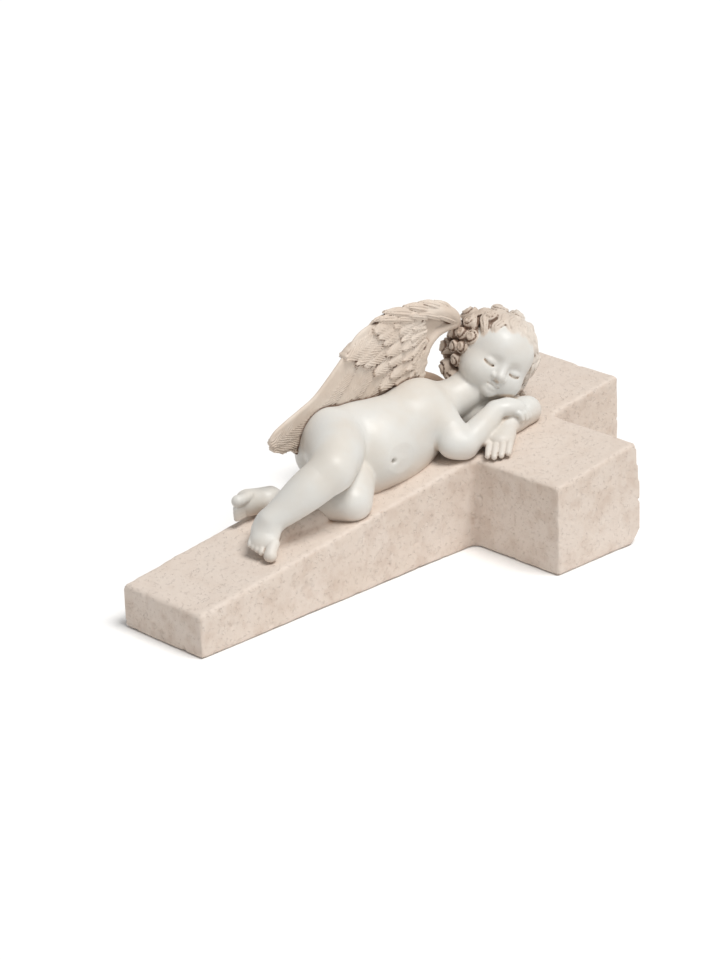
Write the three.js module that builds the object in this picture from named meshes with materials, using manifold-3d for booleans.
// Cherub asleep on a sloping Latin cross, one resin casting, in millimetres with +Z up
// +X is towards the head of the cross, and the cherub's front faces -Y. The origin is under the
// middle of the cross, on the surface that it stands on
import * as THREE from "three";
import { mergeVertices } from "three/addons/utils/BufferGeometryUtils.js";
import Module from "manifold-3d";

const wasm = await Module();
wasm.setup();

// Sizes of the cross
const CROSS_LENGTH = 210;
const CROSS_SPAN = 125;
const SHAFT_WIDTH = 41;
const ARM_WIDTH = 41;
const HEAD_REACH = 35.5; // from the cross arm to the head end
const FOOT_THICKNESS = 16.4;
const HEAD_THICKNESS = 44.5;
const EDGE = 1.2; // worn edges

// Sizes of the cherub. Its pose is stated for these, in its own units, and follows them
const FIGURE_LENGTH = 137; // toes to crown, along the cross
const FIGURE_AT = 0; // how far up the cross from its middle
const TOES_TO_CROWN_UNITS = 137;
const LIMB_FULLNESS = 1; // how plump arms and legs are
const HEAD_WIDTH = 27;
const HAIR_DEPTH = 3; // how far a lock stands off the skull
const CURL_SIZE = 5.6; // outer radius of one curl
const FINGER_THICKNESS = 2.5;
const TOE_THICKNESS = 2.9;

// Sizes of the wings
const WING_LENGTH = 88;
const WING_LENGTH_UNITS = 88;
const WING_THICKNESS = 1.8;
const WING_RIM_THICKNESS = 5.6;
const FEATHER_STEP = 0.45; // how far one row of feathers stands over the next
const LOW_WING_SHARE = 0.9; // the wing behind, against the one that stands up

const UNIT = FIGURE_LENGTH / TOES_TO_CROWN_UNITS;
const WING_UNIT = WING_LENGTH / WING_LENGTH_UNITS;
const RISE = (HEAD_THICKNESS - FOOT_THICKNESS) / CROSS_LENGTH;

const top = (x) => FOOT_THICKNESS + RISE * (x + CROSS_LENGTH / 2);

// A point of the figure: along and across the cross, and above its top face
function at(x, y, above) {
  const along = FIGURE_AT + x * UNIT;
  return new THREE.Vector3(along, y * UNIT, top(along) + above * UNIT);
}

function solid(geometry) {
  geometry.deleteAttribute("normal");
  geometry.deleteAttribute("uv");
  const merged = mergeVertices(geometry, 1e-4);
  return new wasm.Manifold(
    new wasm.Mesh({
      numProp: 3,
      vertProperties: new Float32Array(merged.attributes.position.array),
      triVerts: new Uint32Array(merged.index.array),
    }),
  );
}

function surface(form) {
  const { vertProperties, triVerts } = form.getMesh();
  const geometry = new THREE.BufferGeometry();
  geometry.setAttribute("position", new THREE.BufferAttribute(vertProperties, 3));
  geometry.setIndex(new THREE.BufferAttribute(triVerts, 1));
  return geometry;
}

// Moves every vertex of a geometry by a rule
function reshape(geometry, rule) {
  const position = geometry.attributes.position;
  const p = new THREE.Vector3();
  for (let i = 0; i < position.count; i++) {
    p.fromBufferAttribute(position, i);
    const q = rule(p);
    position.setXYZ(i, q.x, q.y, q.z);
  }
  return geometry;
}

const WORLD = [new THREE.Vector3(1, 0, 0), new THREE.Vector3(0, 1, 0), new THREE.Vector3(0, 0, 1)];

// An ellipsoid. axes: three unit vectors that its radii lie along
function ball(centre, radii, axes = WORLD, detail = 2) {
  const ellipsoid = new THREE.IcosahedronGeometry(1, detail);
  return solid(
    reshape(ellipsoid, (p) =>
      centre
        .clone()
        .addScaledVector(axes[0], p.x * radii[0] * UNIT)
        .addScaledVector(axes[1], p.y * radii[1] * UNIT)
        .addScaledVector(axes[2], p.z * radii[2] * UNIT),
    ),
  );
}

// A round-ended tube bent along a curve through points, with a radius at each of them.
// flat: a direction and a share, by which its section is thinner that way
function tube(points, radii, { sides = 8, steps = 4, ends = 2, flat = null } = {}) {
  const curve = new THREE.CatmullRomCurve3(points, false, "centripetal");
  const length = curve.getLength();
  const reach = (t) => {
    const s = t * (radii.length - 1);
    const i = Math.min(Math.floor(s), radii.length - 2);
    return THREE.MathUtils.lerp(radii[i], radii[i + 1], THREE.MathUtils.smoothstep(s - i, 0, 1));
  };
  const frames = curve.computeFrenetFrames(steps, false);
  const capsule = new THREE.CapsuleGeometry(1, length, ends, sides, steps);
  return solid(
    reshape(capsule, (p) => {
      const t = THREE.MathUtils.clamp(p.y / length + 0.5, 0, 1);
      const beyond = p.y - (t - 0.5) * length;
      const radius = reach(t);
      const i = Math.round(t * steps);
      const offset = new THREE.Vector3()
        .addScaledVector(frames.normals[i], p.x * radius)
        .addScaledVector(frames.binormals[i], -p.z * radius)
        .addScaledVector(frames.tangents[i], beyond * radius);
      if (flat) offset.addScaledVector(flat.way, offset.dot(flat.way) * (flat.share - 1));
      return curve.getPoint(t).add(offset);
    }),
  );
}

// A tube of the figure, through rows of along, across, above and radius
function limb(rows, options) {
  return tube(
    rows.map(([x, y, above]) => at(x, y, above)),
    rows.map((row) => row[3] * UNIT * LIMB_FULLNESS),
    options,
  );
}

const direction = (x, y, z) => new THREE.Vector3(x, y, z).normalize();

// A Latin cross whose top face slopes down to the foot. Its outline is drawn pulled in by the worn edge,
// which the bevel gives back
function cross() {
  const foot = -CROSS_LENGTH / 2 + EDGE;
  const head = CROSS_LENGTH / 2 - EDGE;
  const armHead = CROSS_LENGTH / 2 - HEAD_REACH - EDGE;
  const armFoot = CROSS_LENGTH / 2 - HEAD_REACH - ARM_WIDTH + EDGE;
  const half = SHAFT_WIDTH / 2 - EDGE;
  const tip = CROSS_SPAN / 2 - EDGE;
  const side = [
    [foot, half],
    [armFoot, half],
    [armFoot, tip],
    [armHead, tip],
    [armHead, half],
    [head, half],
  ];
  const corners = [...side, ...side.map(([x, y]) => [x, -y]).reverse()];
  const outline = new THREE.Shape(corners.map(([x, y]) => new THREE.Vector2(x, y)));
  const block = new THREE.ExtrudeGeometry(outline, {
    depth: HEAD_THICKNESS,
    bevelThickness: EDGE,
    bevelSize: EDGE,
    bevelSegments: 2,
    steps: 1,
  });
  return solid(
    reshape(block, (p) => {
      const isTop = p.z > HEAD_THICKNESS / 2;
      const z = isTop ? top(p.x) + p.z - HEAD_THICKNESS - EDGE : p.z + EDGE;
      return new THREE.Vector3(p.x, p.y, z);
    }),
  );
}

// Hips, belly, chest and neck, from the seat to under the chin
function trunk() {
  return [
    limb(
      [
        [-21, 8.5, 16, 11],
        [-11.5, 6.8, 15.8, 14],
        [1, 2, 13.8, 14.6],
        [12, 2.3, 12.8, 13.2],
        [21, 3, 13, 11.8],
        [29.5, 2.6, 13, 9.6],
        [39, 0, 13.4, 7.8],
        [50, -2, 15.5, 7.6],
      ],
      { sides: 12, steps: 14, ends: 3 },
    ),
  ];
}

function toes(first, last, length, way, rise) {
  const count = 5;
  const made = [];
  for (let i = 0; i < count; i++) {
    const across = i / (count - 1);
    const thick = (TOE_THICKNESS / 2) * (1 - 0.3 * across);
    const radii = [thick, thick, thick];
    const root = first.clone().lerp(last, across);
    const reach = length * UNIT * (1 - 0.35 * across);
    const mid = root.clone().addScaledVector(way, reach * 0.6).addScaledVector(rise, 0.5 * UNIT);
    const tip = root.clone().addScaledVector(way, reach);
    made.push(tube([root, mid, tip], radii, { sides: 5, steps: 2, ends: 1 }));
  }
  return made;
}

function fingers(first, last, way, fall, length) {
  const count = 4;
  const made = [];
  for (let i = 0; i < count; i++) {
    const root = first.clone().lerp(last, i / (count - 1));
    const reach = length * UNIT * (1 - 0.12 * Math.abs(i - 1.2));
    const mid = root.clone().addScaledVector(way, reach * 0.55);
    const tip = mid.clone().addScaledVector(way, reach * 0.3).addScaledVector(fall, reach * 0.35);
    const thick = FINGER_THICKNESS / 2;
    made.push(tube([root, mid, tip], [thick, thick, thick * 0.8], { sides: 5, steps: 2, ends: 1 }));
  }
  return made;
}

function upperLeg() {
  const sole = direction(0.63, 0.67, -0.39);
  return [
    limb([[-18, 4, 21, 11.5], [-26.6, -6.4, 22, 9.8], [-34.5, -13.5, 21.7, 7.6]], { sides: 10 }),
    limb(
      [
        [-34.5, -13.5, 21.7, 7.6],
        [-45, -10.5, 17.1, 6.8],
        [-54, -7, 12.6, 4.6],
        [-58, -5.8, 10.5, 4],
      ],
      { sides: 10, steps: 6 },
    ),
    limb(
      [
        [-57.5, -4.5, 9.8, 4.4],
        [-61, -6.5, 6.2, 5],
        [-63.5, -9, 3.4, 5],
      ],
      { flat: { way: sole, share: 0.62 } },
    ),
    ...toes(
      at(-61.2, -12.2, 1.9),
      at(-67.2, -6.4, 2.3),
      3.8,
      direction(-0.62, -0.66, -0.4),
      direction(0, 0, 1),
    ),
  ];
}

function lowerLeg() {
  const sole = direction(0.2, 1, 0);
  return [
    limb([[-12, 5, 9.2, 10], [-20, -6, 7.2, 9], [-25.5, -13, 5.2, 7]]),
    limb(
      [
        [-25.5, -13, 5.2, 7],
        [-32, -1, 3.9, 6.4],
        [-38, 11, 3.4, 4.6],
        [-39.5, 14, 3.6, 4.2],
      ],
      { steps: 6 },
    ),
    limb(
      [
        [-39, 15.5, 4.5, 4.8],
        [-45, 16, 4.4, 5],
        [-50, 15.5, 4.2, 5],
      ],
      { flat: { way: sole, share: 0.75 } },
    ),
    ...toes(
      at(-51.5, 14.4, 8),
      at(-50.5, 15.8, 1.2),
      4.2,
      direction(-1, -0.15, -0.1),
      direction(0, -1, 0),
    ),
  ];
}

function arms() {
  const down = direction(0, -0.2, -1);
  return [
    limb([[25.5, 3, 18.4, 6.4], [26, -8, 12.1, 5.4], [27.5, -17.3, 4.4, 4.8]]),
    limb([[27.5, -17.3, 4.4, 4.7], [38, -16.5, 6, 4.4], [48, -14, 7.9, 3.2]]),
    limb([[48, -14, 7.9, 3.2], [54, -14, 6.9, 3.9]], { steps: 2 }),
    ...fingers(at(54, -16.6, 6), at(58.5, -11.5, 7.6), direction(0.75, -0.55, -0.25), down, 6),
    limb([[36, 2, 6.7, 6], [48, -6, 6.2, 5.2], [60.5, -16.5, 4.2, 4.8]]),
    limb([[60.5, -16.5, 4.2, 4.8], [54, -18.8, 3.8, 4.5], [45.5, -20.8, 3.2, 3.4]]),
    limb([[45.5, -21, 3, 3.3], [39.5, -25.5, 2.6, 4]], { steps: 2 }),
    ...fingers(at(35.2, -25, 2.2), at(42.2, -29.4, 2.2), direction(-0.55, -0.8, 0), down, 6.5),
  ];
}

// The head's own axes: towards the viewer's right of the face, the way it looks, and its crown
const LOOK = direction(-0.47, -0.88, 0.08);
const FACE_RIGHT = direction(0.53, -0.21, 0.82).cross(LOOK).normalize();
const CROWN = LOOK.clone().cross(FACE_RIGHT);
const HEAD_AXES = [FACE_RIGHT.clone().negate(), LOOK, CROWN];
const HEAD_CENTRE = at(58.5, -2, 23.2);
const HEAD_UNITS = HEAD_WIDTH / UNIT;
const SKULL = [HEAD_UNITS / 2, HEAD_UNITS * 0.535, HEAD_UNITS * 0.535];
const HAIR_RADIUS = HEAD_UNITS * 0.52;

function headPoint(right, forward, up) {
  return HEAD_CENTRE.clone()
    .addScaledVector(FACE_RIGHT, right * UNIT)
    .addScaledVector(LOOK, forward * UNIT)
    .addScaledVector(CROWN, up * UNIT);
}

function head() {
  const pieces = [
    ball(HEAD_CENTRE, SKULL, HEAD_AXES),
    ball(headPoint(0, 4.6, -6), [10.4, 9.4, 9], HEAD_AXES, 2),
    ball(headPoint(0, 12, -11), [3.4, 2.6, 2.8], HEAD_AXES, 1),
    ball(headPoint(0, 14.6, -3.8), [1.6, 2.2, 2.6], HEAD_AXES, 1),
    ball(headPoint(0, 13.6, -7.4), [2.9, 1.6, 0.8], HEAD_AXES, 1),
    ball(headPoint(0, 13.4, -8.8), [2.4, 1.6, 0.9], HEAD_AXES, 1),
  ];
  for (const side of [-1, 1]) {
    pieces.push(ball(headPoint(side * 5.2, 12.1, -1.5), [2.5, 1.9, 1.5], HEAD_AXES, 1));
  }
  return pieces;
}

// The hair sits back from the face
const hairCentre = () => headPoint(0, -2.4, 2.4);

// One lock of hair: a snail curl that stands on the mass of hair
function curl(azimuth, elevation, hand) {
  const out = new THREE.Vector3()
    .addScaledVector(FACE_RIGHT, Math.sin(azimuth) * Math.cos(elevation))
    .addScaledVector(LOOK, Math.cos(azimuth) * Math.cos(elevation))
    .addScaledVector(CROWN, Math.sin(elevation));
  const along = CROWN.clone().cross(out).normalize();
  const over = out.clone().cross(along);
  const foot = hairCentre().addScaledVector(out, HAIR_RADIUS * UNIT + HAIR_DEPTH * 0.35);
  const turns = 1.15;
  const steps = 6;
  const thick = CURL_SIZE * 0.36;
  const points = [];
  const radii = [];
  for (let i = 0; i <= steps; i++) {
    const t = i / steps;
    const angle = hand * turns * 2 * Math.PI * t;
    const radius = (CURL_SIZE - thick) * (1 - 0.85 * t);
    points.push(
      foot
        .clone()
        .addScaledVector(along, Math.cos(angle) * radius)
        .addScaledVector(over, Math.sin(angle) * radius)
        .addScaledVector(out, HAIR_DEPTH * 0.6 * t),
    );
    radii.push(thick);
  }
  return tube(points, radii, { sides: 4, steps, ends: 1 });
}

// Rings of curls from the crown down, which leave the face free
function hair() {
  const pieces = [ball(hairCentre(), [HAIR_RADIUS, HAIR_RADIUS, HAIR_RADIUS])];
  const rings = [
    { elevation: 90, count: 1, open: 0 },
    { elevation: 54, count: 6, open: 0 },
    { elevation: 20, count: 8, open: 26 },
    { elevation: -12, count: 6, open: 68 },
    { elevation: -40, count: 3, open: 90 },
  ];
  for (const { elevation, count, open } of rings) {
    for (let i = 0; i < count; i++) {
      const span = 360 - 2 * open;
      const degrees = open + (span * (open ? i / (count - 1) : (i + 0.5) / count));
      pieces.push(
        curl(THREE.MathUtils.degToRad(degrees), THREE.MathUtils.degToRad(elevation), i % 2 ? 1 : -1),
      );
    }
  }
  return pieces;
}

// A wing is made flat in units of its own, x towards the head, y away from the back and z out of
// its front, and then set in its plane
function wing(root, lengthways, upwards, share, rowsWanted) {
  const facing = lengthways.clone().cross(upwards);
  const scale = WING_UNIT * share;
  const curve = (rows) => new THREE.CatmullRomCurve3(rows.map(([x, y]) => new THREE.Vector3(x, y, 0)));

  // A flat leaf of an outline, from a back depth to a front depth
  function leaf(points, back, front, curveSegments) {
    const options = { depth: back + front, bevelEnabled: false, curveSegments };
    return new THREE.ExtrudeGeometry(points, options).translate(0, 0, -back);
  }

  // One feather, from root to tip, which sags to one side
  function feather(from, to, width, sagging, back, front) {
    const way = to.clone().sub(from);
    const length = way.length();
    way.normalize();
    const side = new THREE.Vector3(-way.y, way.x, 0);
    const outline = new THREE.Shape();
    const w = width / 2;
    outline.moveTo(0, -0.6 * w);
    outline.lineTo(0.55 * length, -w);
    outline.quadraticCurveTo(length, -w, length, 0);
    outline.quadraticCurveTo(length, w, 0.55 * length, w);
    outline.lineTo(0, 0.6 * w);
    outline.closePath();
    return solid(
      reshape(leaf(outline, back, front, 2), (p) => {
        const t = p.x / length;
        const sag = sagging * length * 4 * t * (1 - t);
        const q = from.clone().addScaledVector(way, p.x).addScaledVector(side, p.y + sag);
        return new THREE.Vector3(q.x, q.y, p.z);
      }),
    );
  }

  const rows = [
    // long feathers
    {
      count: 5,
      width: 10,
      sagging: 0.13,
      roots: [[1, 28], [14, 18], [22, 2]],
      tips: [[-37, -2], [-32, -8], [-18, -11], [2, -10]],
    },
    // middle feathers
    {
      count: 6,
      width: 8,
      sagging: 0,
      roots: [[12, 31], [25, 24], [29, 8]],
      tips: [[-9, 22], [-2.6, 18], [8, 13], [13, 5], [24, 0]],
    },
    // small feathers, two rows
    {
      count: 6,
      width: 7,
      sagging: 0,
      roots: [[20, 30.5], [28, 25], [31, 12]],
      tips: [[3, 29], [10, 26], [16, 19], [20, 10], [25, 4]],
    },
    {
      count: 6,
      width: 5.8,
      sagging: 0,
      roots: [[32, 29.5], [36, 25], [33, 14]],
      tips: [[14, 31.5], [20, 28], [23, 21], [28, 7]],
    },
  ];
  const rim = [
    [29, -7, 0.8],
    [32.8, 8, 0.75],
    [34.5, 14, 0.85],
    [39, 19, 1],
    [45, 21.5, 1.1],
    [46.5, 24, 1.05],
    [42, 27.5, 0.85],
    [35, 30, 0.65],
    [25, 31, 0.4],
  ];
  const rimRadius = WING_RIM_THICKNESS / 2 / WING_UNIT;
  const rimRadii = rim.map((row) => row[2] * rimRadius);
  const web = [
    [32, -6],
    [33, 12],
    [45, 22],
    [42, 27],
    [12, 31],
    [-6, 19],
    [-19, 4],
    [-33, -2],
    [-33, -6],
    [0, -8],
  ];
  const half = WING_THICKNESS / 2 / WING_UNIT;
  const step = FEATHER_STEP / WING_UNIT;
  const pieces = [
    solid(leaf(new THREE.Shape(web.map(([x, y]) => new THREE.Vector2(x, y))), half, half)),
    tube(rim.map(([x, y]) => new THREE.Vector3(x, y, 0)), rimRadii, { sides: 6, steps: 12, ends: 1 }),
  ];
  rows.slice(0, rowsWanted).forEach((row, k) => {
    const roots = curve(row.roots);
    const tips = curve(row.tips);
    for (let i = 0; i < row.count; i++) {
      const t = i / (row.count - 1);
      const back = half + step * (k + 0.5);
      const front = back + step * 0.5 * (i % 2);
      pieces.push(feather(roots.getPoint(t), tips.getPoint(t), row.width, row.sagging, back, front));
    }
  });
  return solid(
    reshape(surface(wasm.Manifold.union(pieces)), (p) =>
      root
        .clone()
        .addScaledVector(lengthways, p.x * scale)
        .addScaledVector(upwards, p.y * scale)
        .addScaledVector(facing, p.z * scale),
    ),
  );
}

function wings() {
  const along = direction(1, 0, 0);
  return [
    wing(at(-1, 9.8, 26), along, direction(0, -0.15, 0.989), 1, 4),
    wing(at(13, 12, -0.2), along, direction(0, 0.75, 0.66), LOW_WING_SHARE, 3),
  ];
}

// Joins the pieces and keeps the one outer skin
function cast(pieces) {
  const whole = wasm.Manifold.union(pieces);
  return whole.decompose().reduce((a, b) => (a.volume() > b.volume() ? a : b));
}

function mesh(name, form, material) {
  const geometry = surface(form);
  geometry.computeVertexNormals();
  const made = new THREE.Mesh(geometry, material);
  made.name = name;
  return made;
}

const CREAM_RESIN = new THREE.MeshStandardMaterial({ color: 0xe6ded2, roughness: 0.6, metalness: 0 });

const statue = new THREE.Group();
statue.add(
  mesh(
    "cherub_on_cross",
    cast([
      cross(),
      ...trunk(),
      ...upperLeg(),
      ...lowerLeg(),
      ...arms(),
      ...head(),
      ...hair(),
      ...wings(),
    ]),
    CREAM_RESIN,
  ),
);

export default statue;
